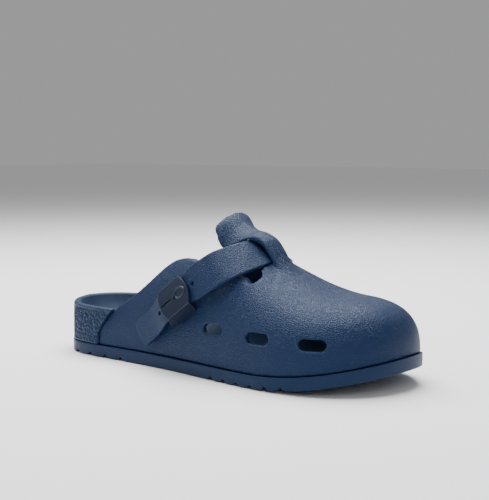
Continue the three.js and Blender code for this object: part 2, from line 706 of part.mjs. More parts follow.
function makeProng() {
  const low = strapLift + strapThickness + prongLift;
  const high = low + prongThickness;
  const shape = new THREE.Shape();
  shape.moveTo(pinAt - 1.5, pinHeight);
  shape.lineTo(pinAt - 4.1, low);
  shape.lineTo(tipReach + 3, low);
  shape.quadraticCurveTo(tipReach + 0.4, low + 0.4, tipReach, low + 1.4);
  shape.quadraticCurveTo(tipReach + 0.1, plateTop + 0.6, tipReach + 1.6, plateTop + 0.6);
  shape.quadraticCurveTo(tipReach + 3, plateTop + 0.4, tipReach + 4.2, high);
  shape.lineTo(pinAt - 3, high);
  shape.quadraticCurveTo(pinAt - 2.2, high, pinAt - 1.8, high - 1);
  shape.lineTo(pinAt + 1.2, pinHeight + 0.9);
  shape.lineTo(pinAt + 1.2, pinHeight);
  const eye = crossBar(eyeRadius, eyeWidth, 0);
  const knobBase = plateTop + gap;
  const knob = post(knobRadius, knobBase, knobBase + knobHeight, tipReach + knobRadius - 0.2, buckleFrame);
  return acrossBuckle(shape, prongWidth).add(eye).add(knob).subtract(crossBar(pinRadius + run, frameBaseWidth, 0));
}

function makePin() {
  const slope = (frameBaseWidth - plateWidth) / 2 / (plateTop - frameFoot);
  const outerFace = frameBaseWidth / 2 - slope * (pinHeight - frameFoot);
  return crossBar(pinRadius, 2 * outerFace - 2 * gap, 0);
}

function makeRivet() {
  const under = strapRest + strapThickness + gap;
  const end = -wall - washerThickness - 2 * gap;
  const profile = new THREE.Path();
  profile.moveTo(0, end);
  profile.lineTo(rivetShankRadius, end);
  profile.lineTo(rivetShankRadius, under);
  profile.lineTo(rivetHeadRadius, under);
  profile.lineTo(rivetHeadRadius, under + 0.7);
  profile.quadraticCurveTo(0.8 * rivetHeadRadius, under + rivetHeadHeight, 0, under + rivetHeadHeight);
  const geometry = new THREE.LatheGeometry(profile.getPoints(6), 24);
  geometry.rotateX(Math.PI / 2);
  return placed(geometry, rivetFrame);
}

// ---------- the object

const moulded = { color: 0x1f3358, roughness: 0.55, metalness: 0 };
const plastic = { color: 0x23304f, roughness: 0.35, metalness: 0 };
const strapRoom = strapSolid(gap);
const group = new THREE.Group();
function add(name, solid, look) {
  const mesh = new THREE.Mesh(toGeometry(solid), new THREE.MeshStandardMaterial(look));
  mesh.name = name;
  group.add(mesh);
}
add("outsole", makeOutsole(), moulded);
add("footbed", makeFootbed(), moulded);
add("upper", makeUpper(strapRoom), moulded);
add("instep_strap", makeStrap(), moulded);
add("buckle_anchor", makeAnchor(), plastic);
add("anchor_washer", makeWasher(buckleFrame, studRadius + gap, buckleStandoff), plastic);
add("hinge_pin", makePin(), plastic);
add("buckle_frame", makeFrame(), plastic);
add("buckle_prong", makeProng(), plastic);
add("strap_rivet", makeRivet(), plastic);
add("rivet_washer", makeWasher(rivetFrame, rivetShankRadius + gap), plastic);

export default group;
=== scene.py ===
# Moulded garden clog, right foot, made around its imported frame.
# +X to the toe, +Y to the inner side of the foot, +Z up. Sizes in this script are millimetres.
import math

import bpy
import numpy as np
from mathutils import Matrix, Vector, noise


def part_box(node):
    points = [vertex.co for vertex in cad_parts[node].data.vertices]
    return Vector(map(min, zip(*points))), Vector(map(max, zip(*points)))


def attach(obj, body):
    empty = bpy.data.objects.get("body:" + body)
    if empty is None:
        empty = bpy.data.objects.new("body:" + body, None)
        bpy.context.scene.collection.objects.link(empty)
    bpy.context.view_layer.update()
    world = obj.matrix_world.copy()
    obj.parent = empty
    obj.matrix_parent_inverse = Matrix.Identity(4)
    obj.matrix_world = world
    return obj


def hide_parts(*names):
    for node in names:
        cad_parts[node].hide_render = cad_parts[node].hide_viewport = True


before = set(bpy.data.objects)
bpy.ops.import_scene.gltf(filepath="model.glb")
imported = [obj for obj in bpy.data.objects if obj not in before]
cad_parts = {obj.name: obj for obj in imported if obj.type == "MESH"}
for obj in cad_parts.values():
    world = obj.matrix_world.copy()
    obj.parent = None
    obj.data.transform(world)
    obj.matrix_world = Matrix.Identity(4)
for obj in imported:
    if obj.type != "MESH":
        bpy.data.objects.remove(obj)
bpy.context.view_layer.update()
bpy.ops.object.select_all(action="DESELECT")
mm = 0.001

_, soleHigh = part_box("outsole")
halfLength = soleHigh.x / mm
halfWidth = soleHigh.y / mm

shoe = {
    "instepHeight": 89,
    "toeBoxHeight": 57,
    "toeSpring": 13.2,  # lift of the sole at the tip
    "springStart": 0.35,
    "soleThickness": 8.8,
    "flange": 1.5,  # sole edge shown outside the shell
    "wall": 4,
    "gap": 0.3,
    "leanIn": 0.45,
    "frontLean": 0.28,
    "rearLean": -0.42,
    "crownSpan": (-0.7, 0.68),
    "toeIn": (2, 4.6, 0.14, 0.68),  # centre line's shift at the heel, its growth, from and to
    # power of the cross section at the heel, its growth to the toe, and the power of that growth
    "fullness": {-1: (2.2, 0.5, 1), 1: (2.1, 0.59, 2)},
    "fullFrom": 0.14,
    "fullOver": 0.54,
}


def along(u):
    return u * halfLength


def vector(x, y, z):
    return np.array([x, y, z], float)


# ---- curves and the form of the foot

# Points at shares t of a smooth curve through the given points
def batten(points, t, closed=False, power=0.5):
    points = np.asarray(points, float)
    count = len(points)
    spans = count if closed else count - 1
    place = np.clip(np.asarray(t, float), 0, 1) * spans
    i = np.minimum(place.astype(int), spans - 1)
    w = (place - i)[..., None]
    if closed:
        p0, p1, p2, p3 = (points[(i + k) % count] for k in (-1, 0, 1, 2))
    else:
        longer = np.vstack([2 * points[0] - points[1], points, 2 * points[-1] - points[-2]])
        p0, p1, p2, p3 = (longer[i + k] for k in range(4))
    d0, d1, d2 = (np.linalg.norm(b - a, axis=-1, keepdims=True) ** power
                  for a, b in ((p0, p1), (p1, p2), (p2, p3)))
    leave = ((p1 - p0) / d0 - (p2 - p0) / (d0 + d1) + (p2 - p1) / d1) * d1
    arrive = ((p2 - p1) / d1 - (p3 - p1) / (d1 + d2) + (p3 - p2) / d2) * d1
    return (p1 + leave * w + (3 * (p2 - p1) - 2 * leave - arrive) * w ** 2
            + (2 * (p1 - p2) + leave + arrive) * w ** 3)


def smoothstep(x, low, high):
    k = np.clip((x - low) / (high - low), 0, 1)
    return k * k * (3 - 2 * k)


# Outline of the sole: place along the foot, outer and inner half widths as shares
planStations = [
    (-0.976, 0.256, 0.265), (-0.93, 0.438, 0.438), (-0.853, 0.593, 0.566), (-0.734, 0.668, 0.63),
    (-0.559, 0.693, 0.648), (-0.35, 0.72, 0.666), (-0.105, 0.785, 0.72), (0.14, 0.894, 0.82),
    (0.35, 0.976, 0.94), (0.524, 1, 1), (0.7, 0.921, 0.98), (0.825, 0.748, 0.882),
    (0.916, 0.511, 0.695), (0.976, 0.2, 0.49),
]
heelTip, toeTip = (-1, 0.02), (1, 0.19)
outerEdge = [(u, -w) for u, w, _ in planStations]
innerEdge = [(u, w) for u, _, w in reversed(planStations)]
plan = batten([heelTip, *outerEdge, toeTip, *innerEdge] * np.array([halfLength, halfWidth]),
              np.arange(1400) / 1400, closed=True)

# Crown of the shell over the centre line, as shares of the way from toe box to instep height
crownStations = [
    (-0.8, 0.2), (-0.7, 0.36), (-0.42, 0.72), (-0.21, 0.91), (-0.07, 1), (0.07, 1), (0.175, 0.908),
    (0.28, 0.669), (0.385, 0.435), (0.49, 0.208), (0.594, 0.044), (0.68, 0), (0.77, 0),
]
crownLine = batten([(along(u), k) for u, k in crownStations], np.linspace(0, 1, 400), power=0)


# The outline moved in by a distance, as its outer and inner side, heel to toe
def planSides(inset):
    step = np.roll(plan, -1, 0) - np.roll(plan, 1, 0)
    step /= np.linalg.norm(step, axis=1, keepdims=True)
    moved = plan + inset * np.column_stack([-step[:, 1], step[:, 0]])
    around = np.roll(moved, -moved[:, 0].argmin(), 0)
    toe = around[:, 0].argmax()
    sides = []
    for line in (around[:toe + 1], np.vstack([around[toe:], around[:1]])[::-1]):
        sides.append((np.maximum.accumulate(line[:, 0]), line[:, 1]))
    return sides


def spring(x):
    start = along(shoe["springStart"])
    return shoe["toeSpring"] * (np.maximum(0, x - start) / (halfLength - start)) ** 2


def rimLine(x):
    return shoe["soleThickness"] + spring(x)


def crown(x):
    rear, front = shoe["crownSpan"]
    share = np.interp(np.clip(x, along(rear), along(front)), crownLine[:, 0], crownLine[:, 1])
    return shoe["toeBoxHeight"] + (shoe["instepHeight"] - shoe["toeBoxHeight"]) * share


# The crown line is shorter than the sole: each end leans in.
def spineX(x):
    front = np.maximum(0, x - along(shoe["frontLean"])) ** 2 / (halfLength - along(shoe["frontLean"]))
    rear = np.maximum(0, along(shoe["rearLean"]) - x) ** 2 / (halfLength + along(shoe["rearLean"]))
    return x + shoe["leanIn"] * (rear - front)


def spineY(x):
    shift, growth, start, end = shoe["toeIn"]
    return shift + growth * smoothstep(x, along(start), along(end))


# Stations at shares of the way from heel to toe, of a plan moved in by inset
def stations(inset, shares):
    (outerX, outerY), (innerX, innerY) = planSides(inset)
    x = (outerX[0] + outerX[-1]) / 2 - (outerX[-1] - outerX[0]) / 2 * np.cos(np.pi * shares)
    return {
        "x": x[:, None],
        -1: np.interp(x, outerX, outerY)[:, None],
        1: np.interp(x, innerX, innerY)[:, None],
        "roundEnd": np.minimum(1, 3 * np.sin(np.pi * shares))[:, None],
    }


# Points of the shell's outer form, moved out by offset; turn is 0 at the rim and 1 at the crown
def formPoints(station, side, turn, offset=0):
    x = station["x"]
    top = spineX(x)
    k = np.clip((top - along(shoe["fullFrom"])) / along(shoe["fullOver"]), 0, 1)
    full = {side: low + growth * k ** degree for side, (low, growth, degree) in shoe["fullness"].items()}
    mean = (full[-1] + full[1]) / 2
    power = 2 / (mean + (full[side] - mean) * station["roundEnd"])
    g = 1 - np.cos(turn * np.pi / 2).clip(0) ** power
    h = np.sin(turn * np.pi / 2) ** power
    base = rimLine(x)
    return np.stack([x + (top - x) * g, station[side] + (spineY(top) - station[side]) * g,
                     base + (crown(top) + offset - base) * h], axis=-1)


def formRows(offset, floor, count=150, turns=44):
    station = stations(shoe["flange"] - offset, np.linspace(0, 1, count))
    up = np.linspace(0, 1, turns)[None, :]
    outerSide = formPoints(station, -1, up, offset)
    innerSide = formPoints(station, 1, up, offset)
    for side in (outerSide, innerSide):
        side[:, 0, 2] = rimLine(station["x"][:, 0]) + floor
    return np.concatenate([outerSide, innerSide[:, -2::-1]], axis=1)


# Place and outward normal on the outer form at a given x and z of one side
def onForm(side, x, z):
    def at(share, turn):
        return formPoints(stations(shoe["flange"], np.array([share])), side, np.array([[turn]]))[0, 0]
    share, turn = 0.5, 0.3
    for _ in range(12):
        low, high = 0, 1
        for _ in range(16):
            turn = (low + high) / 2
            low, high = (turn, high) if at(share, turn)[2] < z else (low, turn)
        slope = (at(share + 0.004, turn)[0] - at(share - 0.004, turn)[0]) / 0.008
        share = float(np.clip(share + (x - at(share, turn)[0]) / slope, 0.02, 0.98))
    forward = at(share + 0.004, turn) - at(share - 0.004, turn)
    up = at(share, turn + 0.01) - at(share, turn - 0.01)
    normal = np.cross(forward, up)
    normal *= np.sign(normal[1] * side) / np.linalg.norm(normal)
    return at(share, turn), normal


# Axes at a place: third axis along the normal, first as near the direction as it can be
def frameAt(point, normal, direction):
    third = Vector(normal).normalized()
    first = Vector(direction)
    first = (first - third * first.dot(third)).normalized()
    second = third.cross(first)
    axes = Matrix((first, second, third)).transposed().to_4x4()
    return Matrix.Translation(Vector(point)) @ axes


# ---- modelling helpers

def applyModifier(piece, kind, **settings):
    modifier = piece.modifiers.new(kind.lower(), kind)
    for key, value in settings.items():
        setattr(modifier, key, value)
    bpy.context.view_layer.objects.active = piece
    bpy.ops.object.modifier_apply(modifier=modifier.name)


def editAll(piece, *steps):
    bpy.ops.object.select_all(action="DESELECT")
    piece.select_set(True)
    bpy.context.view_layer.objects.active = piece
    bpy.ops.object.mode_set(mode="EDIT")
    bpy.ops.mesh.select_all(action="SELECT")
    for step, settings in steps:
        step(**settings)
    bpy.ops.object.mode_set(mode="OBJECT")


def coordinates(piece):
    values = np.empty(len(piece.data.vertices) * 3, np.float32)
    piece.data.vertices.foreach_get("co", values)
    return values.reshape(-1, 3).astype(float) / mm


def normals(piece):
    values = np.empty(len(piece.data.vertices) * 3, np.float32)
    piece.data.vertex_normals.foreach_get("vector", values)
    return values.reshape(-1, 3).astype(float)


def moveTo(piece, points):
    piece.data.vertices.foreach_set("co", (points * mm).astype(np.float32).ravel())
    piece.data.update()


# A grid primitive bent to rows of points; each row is a closed ring, and the ends are capped
def skin(name, rows):
    rows = np.concatenate([rows, rows[:, :1]], axis=1)
    bpy.ops.mesh.primitive_grid_add(x_subdivisions=rows.shape[1] - 1, y_subdivisions=rows.shape[0] - 1)
    piece = bpy.context.object
    piece.name = name
    moveTo(piece, rows.reshape(-1, 3))
    editAll(piece,
            (bpy.ops.mesh.remove_doubles, {"threshold": weldReach}),
            (bpy.ops.mesh.fill_holes, {"sides": 0}),
            (bpy.ops.mesh.normals_make_consistent, {"inside": False}))
    return piece


# A flat outline in a frame's first two axes, pushed from one level to another along the third
def prism(name, outline, low, high, axes=Matrix.Identity(4)):
    rows = [[axes @ Vector((a, b, level)) for a, b in outline] for level in (low, high)]
    return skin(name, np.array(rows))


def slotOutline(reach, radius, segments=16):
    right = np.linspace(-np.pi / 2, np.pi / 2, segments)
    left = right + np.pi
    return ([(reach + radius * math.cos(a), radius * math.sin(a)) for a in right]
            + [(-reach + radius * math.cos(a), radius * math.sin(a)) for a in left])


def carve(piece, tool, operation="DIFFERENCE"):
    applyModifier(piece, "BOOLEAN", operation=operation, solver="EXACT", object=tool)
    bpy.data.objects.remove(tool)


# Size of each piece's faces, and rounds of easing
meshing = {
    "footbedCup": (1.05, 3),
    "upperShell": (0.98, 4),
    "instepStrap": (0.5, 3),
    "rivetHead": (0.3, 3),
    "buckleCover": (0.24, 2),
    "bucklePin": (0.16, 2),
    "anchorPlate": (0.25, 1),
}
proudReach = 0.35  # share of a face's size that counts as fully proud
weldReach = 1e-6  # metres


# Even small faces all over, with edges eased; a vertex attribute keeps how proud each place is
def recast(piece):
    voxel, rounds = meshing[piece.name]
    applyModifier(piece, "REMESH", mode="VOXEL", voxel_size=voxel * mm, use_smooth_shade=True)
    sharp = coordinates(piece)
    applyModifier(piece, "SMOOTH", factor=0.5, iterations=rounds)
    proud = ((sharp - coordinates(piece)) * normals(piece)).sum(1) / (proudReach * voxel)
    mark = piece.data.attributes.new("proud", "FLOAT", "POINT")
    mark.data.foreach_set("value", np.clip(proud, -1, 1).astype(np.float32))
    print(piece.name, "has", len(piece.data.polygons), "faces")


def easeAround(piece, weights, rounds):
    group = piece.vertex_groups.new(name="ease")
    for index in np.flatnonzero(weights > 0.02):
        group.add([int(index)], float(weights[index]), "REPLACE")
    applyModifier(piece, "SMOOTH", factor=0.5, iterations=rounds, vertex_group="ease")
    piece.vertex_groups.clear()


# A finer copy of a CAD node, with its edges eased
def refined(node, name, extra=()):
    piece = bpy.data.objects.new(name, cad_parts[node].data.copy())
    bpy.context.scene.collection.objects.link(piece)
    piece.data.materials.clear()
    editAll(piece, (bpy.ops.mesh.remove_doubles, {"threshold": weldReach}))
    for tool in extra:
        carve(piece, tool, "UNION")
    recast(piece)
    return piece


def settle(piece, body, slot, material, *nodes):
    piece.data.materials.clear()
    piece.data.materials.append(material)
    piece.data.name = piece.name
    for polygon in piece.data.polygons:
        polygon.use_smooth = True
    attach(piece, body)
    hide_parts(*nodes)


# ---- materials

class Wire:
    def __init__(self, tree, socket=None):
        self.tree = tree
        self.socket = socket

    # A node with its settings, then its sockets; gives a wire from one of its outputs
    def node(self, kind, settings=None, sockets=None, output=0):
        made = self.tree.nodes.new("ShaderNode" + kind)
        for key, value in (settings or {}).items():
            setattr(made, key, value)
        for key, value in (sockets or {}).items():
            if isinstance(value, Wire):
                self.tree.links.new(value.socket, made.inputs[key])
            else:
                made.inputs[key].default_value = value
        return Wire(self.tree, made.outputs[output] if made.outputs else None)

    def maths(self, operation, first, second, clamp=False):
        return self.node("Math", {"operation": operation, "use_clamp": clamp}, {0: first, 1: second})

    def __add__(self, other):
        return self.maths("ADD", self, other)

    def __sub__(self, other):
        return self.maths("SUBTRACT", self, other)

    def __mul__(self, other):
        return self.maths("MULTIPLY", self, other)

    def __rsub__(self, other):
        return self.maths("SUBTRACT", other, self)

    __radd__ = __add__
    __rmul__ = __mul__

    def clamped(self):
        return self.maths("MULTIPLY", self, 1, clamp=True)


def mixColours(wire, share, first, second):
    return wire.node("Mix", {"data_type": "RGBA"}, {0: share, 6: first, 7: second}, output=2)


looks = {
    "shellFoam": {"colour": (0.003, 0.0125, 0.049), "pale": (0.008, 0.023, 0.069),
                  "edge": (0.022, 0.045, 0.10), "edgeWearAndHighlightShare": 0.5, "rough": 0.43, "grain": 1.25,
                  "grainDepth": 0.24, "ripple": 0.03, "coat": 0.0},
    # The footbed's foam is coloured lighter than the shell's: painted light, for the light that the heel cup
    # catches.
    "footbedFoamPaintedLight": {"colour": (0.008, 0.019, 0.050), "pale": (0.016, 0.033, 0.070),
                    "edge": (0.03, 0.05, 0.10), "edgeWearAndHighlightShare": 0.6, "rough": 0.42, "grain": 0.8,
                    "grainDepth": 0.05, "ripple": 0.03, "coat": 0.0},
    "soleFoam": {"colour": (0.003, 0.012, 0.045), "pale": (0.008, 0.021, 0.062),
                 "edge": (0.022, 0.042, 0.09), "edgeWearAndHighlightShare": 0.5, "rough": 0.48, "grain": 0.7,
                 "grainDepth": 0.04, "ripple": 0.03, "coat": 0.0},
    "strapFoam": {"colour": (0.003, 0.0125, 0.049), "pale": (0.008, 0.023, 0.069),
                  "edge": (0.026, 0.048, 0.10), "edgeWearAndHighlightShare": 0.6, "rough": 0.43, "grain": 1.2,
                  "grainDepth": 0.24, "ripple": 0.03, "coat": 0.0},
    # The plastic's pale edge colour, mixed in at 0.9 on proud edges, is a painted highlight along the bevels,
    # not scuffing.
    "bucklePlastic": {"colour": (0.0035, 0.0068, 0.021), "pale": (0.007, 0.0115, 0.029),
                      "edge": (0.16, 0.18, 0.25), "edgeWearAndHighlightShare": 0.9, "rough": 0.33, "grain": 0.5,
                      "grainDepth": 0.006, "ripple": 0.01, "coat": 0.1},
}


# Sizes of the noises that all the looks share, in turns per metre
noiseScale = {"bend": 260, "fine": 1900, "broad": 28, "rub": 130, "wave": 90}
bendReach = 0.0016


def makeMaterial(name, look):
    material = bpy.data.materials.new(name)
    material.use_nodes = True
    tree = material.node_tree
    tree.nodes.clear()
    start = Wire(tree)
    place = start.node("TexCoord", output="Object")
    bend = start.node("TexNoise", None, {"Vector": place, "Scale": noiseScale["bend"], "Detail": 2}, "Color")
    moved = start.node("VectorMath", {"operation": "MULTIPLY_ADD"},
                       {0: bend, 1: (bendReach, bendReach, bendReach), 2: place})
    cells = start.node("TexVoronoi", {"feature": "F1"},
                       {"Vector": moved, "Scale": 1000 / look["grain"], "Randomness": 1}, "Distance")
    cracks = start.node("TexVoronoi", {"feature": "DISTANCE_TO_EDGE"},
                        {"Vector": moved, "Scale": 1000 / look["grain"], "Randomness": 1}, "Distance")
    fine = start.node("TexNoise", None, {"Vector": place, "Scale": noiseScale["fine"], "Detail": 3}, 0)
    broad = start.node("TexNoise", None, {"Vector": place, "Scale": noiseScale["broad"], "Detail": 3}, 0)
    rub = start.node("TexNoise", None, {"Vector": place, "Scale": noiseScale["rub"], "Detail": 4}, 0)
    proud = start.node("Attribute", {"attribute_name": "proud"}, None, "Fac")
    # Proud places take the pale edge colour: rubbed wear on the foams, and a painted highlight along the
    # bevels on the buckle plastic.
    edgeWearAndHighlight = (proud * 1.6 * (rub * 1.4 - 0.2)).clamped()
    hill = (cracks * 5).clamped() * (1 - cells * 0.6)
    mottle = (broad * 1.5 - 0.5).clamped()
    dusty = (hill * 0.2 + fine * 0.2 + mottle * 0.3).clamped()
    moulded = mixColours(start, dusty, (*look["colour"], 1), (*look["pale"], 1))
    colour = mixColours(start, edgeWearAndHighlight * look["edgeWearAndHighlightShare"], moulded, (*look["edge"], 1))
    rough = look["rough"] + 0.07 * (mottle - 0.5) + 0.06 * (fine - 0.5) - 0.05 * edgeWearAndHighlight
    wave = start.node("TexNoise", None, {"Vector": place, "Scale": noiseScale["wave"], "Detail": 2}, 0)
    height = hill * look["grainDepth"] + fine * (0.25 * look["grainDepth"]) + wave * look["ripple"]
    bump = start.node("Bump", None, {"Height": height, "Strength": 1, "Distance": mm})
    shader = start.node("BsdfPrincipled", None, {
        "Base Color": colour, "Roughness": rough, "Normal": bump, "Specular IOR Level": 0.25,
        "Specular Tint": (0.62, 0.8, 1, 1),
        "Coat Weight": look["coat"], "Coat Roughness": 0.15})
    start.node("OutputMaterial", None, {"Surface": shader})
    return material


def makeMaterials():
    made = {name: makeMaterial(name, look) for name, look in looks.items()}
    print("materials made")
    return made


# ---- strap and buckle places

buckle = {
    "standoff": 1.5,  # of its axes from the shell
    "turn": 5,  # degrees that it faces forward of the shell
    "strapLift": 4.2,  # of the strap's inner face above the shell
    "plateLevel": 9.7,  # top of the plate
    "ring": (-7.2, 0, 4.4, 3.3),  # raised oval: place along and across, half axes
    "ringWire": 0.5,
    "ringLift": 0.05,  # of its middle above the plate
    "studHole": 2.3,
}
buckleSpot, buckleOut = onForm(-1, along(-0.08), 49.2)
buckleOut = Matrix.Rotation(math.radians(buckle["turn"]), 3, "Z") @ Vector(buckleOut)
buckleAxes = frameAt(Vector(buckleSpot) + buckle["standoff"] * buckleOut, buckleOut, (-0.77, -0.1, -0.63))
rivetSpot, rivetOut = onForm(1, along(0.05), 45)
rivetAxes = frameAt(rivetSpot, rivetOut, (-0.15, 0, -1))

strap = {
    "thickness": 2.8,
    "width": 25,
    "shoulderWidth": 26.4,
    "bridgeWidth": 24,
    "endWidth": 20.4,
    "edgeRound": 0.9,
    "endRound": 4,
    "rivetRest": 0.9,
    "holes": (-18, -10, 17),
    "holeRadius": 1.4,
    "slot": (5.8, 14, 1.6),  # hole in use, drawn out long: rear, front, half width
}


# Centre line of the strap: place, outward direction and width, inner end to free end
def strapStops():
    half = strap["thickness"] / 2

    def overForm(side, u, z, lift, width):
        point, out = onForm(side, along(u), z)
        return (*(point + out * (lift + half)), *out, width)

    def atBuckle(s, level, width):
        return (*(buckleAxes @ Vector((s, 0, level + half))), *buckleOut, width)

    def atRivet(s):
        return (*(rivetAxes @ Vector((s, 0, strap["rivetRest"] + half))), *rivetOut, strap["endWidth"])

    def free(u, y, z, out, width):
        return (along(u), y, z, *Vector(out).normalized(), width)

    wide, narrow, lift = strap["width"], strap["endWidth"], buckle["strapLift"]
    return np.array([
        atRivet(11),
        atRivet(0),
        atRivet(-8),
        overForm(1, 0.09, 62, 1.8, wide),
        overForm(1, 0.15, 75, 2.8, wide),
        free(0.222, 11, 83.4, (0.6, 0.36, 0.78), strap["bridgeWidth"]),
        free(0.232, -1, 84.6, (0.6, 0, 0.78), strap["bridgeWidth"]),
        free(0.235, -11, 83.4, (0.6, -0.36, 0.78), strap["bridgeWidth"]),
        free(0.137, -36.6, 74.6, (0.28, -0.77, 0.56), strap["shoulderWidth"]),
        atBuckle(-18, lift + 0.4, wide),
        atBuckle(-11.5, lift, narrow),
        atBuckle(0, lift, narrow),
        atBuckle(13, lift, narrow),
        overForm(-1, -0.225, 33.2, 2.7, narrow),
        overForm(-1, -0.335, 21.6, 1.3, narrow),
    ])


def strapRows(grow, count=320):
    stops = strapStops()
    t = np.linspace(0, 1, count)
    centre = batten(stops[:, :3], t)
    tangent = np.gradient(centre, axis=0)
    tangent /= np.linalg.norm(tangent, axis=1, keepdims=True)
    out = batten(stops[:, 3:6], t, power=0)
    out -= tangent * (out * tangent).sum(1, keepdims=True)
    out /= np.linalg.norm(out, axis=1, keepdims=True)
    across = np.cross(out, tangent)
    ends = np.minimum(*(np.linalg.norm(centre - stops[i, :3], axis=1) for i in (0, -1)))
    turn = strap["endRound"]
    corner = turn - np.sqrt(turn ** 2 - np.clip(turn - ends, 0, turn) ** 2)
    width = np.interp(t * (len(stops) - 1), np.arange(len(stops)), stops[:, 6])
    radius = strap["edgeRound"]
    ring = []
    for quarter, (a, n) in enumerate([(-1, -1), (1, -1), (1, 1), (-1, 1)]):
        for angle in math.pi + (quarter + np.linspace(0, 1, 5)) * math.pi / 2:
            w = a * (width / 2 - corner + grow - radius) + radius * math.cos(angle)
            h = n * (strap["thickness"] / 2 + grow - radius) + radius * math.sin(angle)
            ring.append(centre + across * w[:, None] + out * h)
    return np.stack(ring, axis=1)


# ---- outsole

sole = {
    "treadDepth": 2.9,
    "grooves": [(12, 6, 0.154), (16, 4, -0.83)],  # pitch, count, place of the first: fore, then heel
    "grooveShare": 0.46,  # of the pitch, each side of a groove's cusp
    "edgeRound": 1.0,
    "topRound": 0.5,
}


def treadHeight(x):
    height = np.zeros_like(x)
    for pitch, count, start in sole["grooves"]:
        half = sole["grooveShare"] * pitch
        for i in range(count):
            away = np.abs(x - along(start) - i * pitch) / half
            rise = 1.5 - np.sqrt(0.25 + 2 * np.minimum(away, 1))
            height = np.maximum(height, sole["treadDepth"] * rise ** 2)
    return height


def makeSole():
    station = stations(0, np.linspace(0, 1, 520))
    x = station["x"][:, 0]
    low = spring(x) + treadHeight(x)
    top = rimLine(x)
    middle = (station[-1] + station[1])[:, 0] / 2
    ring = []

    def put(side, pull, height):
        y = station[side][:, 0]
        ring.append(np.stack([x, y + np.sign(middle - y) * np.minimum(pull, np.abs(middle - y)), height], 1))

    for k in np.linspace(0.9, 0, 7):
        ring.append(np.stack([x, middle + (station[-1][:, 0] - middle) * (0.9 - k) / 0.9 * 0.9, low], 1))
    for angle in np.linspace(0, np.pi / 2, 6):
        put(-1, sole["edgeRound"] * (1 - math.sin(angle)), low + sole["edgeRound"] * (1 - math.cos(angle)))
    for angle in np.linspace(0, np.pi / 2, 4):
        put(-1, sole["topRound"] * (1 - math.cos(angle)), top - sole["topRound"] * (1 - math.sin(angle)))
    for angle in np.linspace(np.pi / 2, 0, 4):
        put(1, sole["topRound"] * (1 - math.cos(angle)), top - sole["topRound"] * (1 - math.sin(angle)))
    for angle in np.linspace(np.pi / 2, 0, 6):
        put(1, sole["edgeRound"] * (1 - math.sin(angle)), low + sole["edgeRound"] * (1 - math.cos(angle)))
    for k in np.linspace(0, 0.9, 7)[:-1]:
        ring.append(np.stack([x, middle + (station[1][:, 0] - middle) * (0.9 - k), low], 1))
    return skin("ribbedSole", np.stack(ring, axis=1))


# ---- mouth of the upper, as a side outline

mouth = {
    "edge": [(-0.66, 9.8), (-0.652, 18.6), (-0.61, 28), (-0.55, 37), (-0.4, 52.2), (-0.26, 70.8),
             (-0.19, 76), (-0.11, 76.6)],
    "keyhole": (0.296, 68.2, 3.7),  # place along the foot, height, radius
}


def mouthTool(shift=0):
    edge = [(along(u) + shift, z) for u, z in mouth["edge"]]
    u, keyZ, radius = mouth["keyhole"]
    keyX = along(u)
    far = 2 * halfLength
    outline = [(-far, -10), (edge[0][0], -10), *map(tuple, batten(edge, np.linspace(0, 1, 60), power=0))]
    outline += [(along(0.1), 74.4), (keyX - 2 * radius, keyZ + 3)]
    outline += [(keyX + radius * math.cos(a), keyZ + radius * math.sin(a))
                for a in np.linspace(0.9, 2.15, 24) * math.pi]
    outline += [(keyX, keyZ + radius + 0.6), (keyX - 1.2, keyZ + 6), (keyX - 1.2, 180), (-far, 180)]
    upright = Matrix.Rotation(math.pi / 2, 4, "X")
    return prism("mouthTool", outline, -2 * halfWidth, 2 * halfWidth, upright)


# On the outer side the keyhole runs on to the rear, below the strap. Its corners hang on the keyhole.
def slitTool():
    u, keyZ, radius = mouth["keyhole"]
    keyX = along(u)
    outline = [(along(0.05), 74.2), (keyX - 3.4 * radius, keyZ + 1.2), (keyX - 1.4 * radius, keyZ - 0.6),
               (keyX, keyZ - 0.8 * radius), (keyX, keyZ + 6), (along(0.05), keyZ + 14)]
    return prism("slitTool", outline, 8, 2 * halfWidth, Matrix.Rotation(math.pi / 2, 4, "X"))


# ---- footbed

footbed = {
    "heelRim": 38.8,
    "rimFall": 0.014,
    "rimInset": 0.2,
    "rimLip": 5,
    "medialRise": 1.2,
    "heelFloor": 17,
    "toeFloor": 16,
    "foreRim": 22,
    "pebble": 2.2,  # across one pebble of the heel wall
    "pebbleDepth": 0.9,
    "border": 1.6,  # smooth band above and below the pebbles
    "borderFade": 0.8,
    "pebbleEnds": (0.58, 0.6),  # where the pebbles fade out, behind the middle
    "pebbleWarp": 0.35,
    "pebbleSeed": 1,  # 0 would seed from the clock
    "pebbleTall": 0.72,  # their spacing upwards against along
    "crack": (0.02, 0.32),  # from the bottom of a crack to the top of a pebble
    "span": 38,  # half width that the lip is a share of
    "bowl": 2.6,  # power of the cup's curve
}


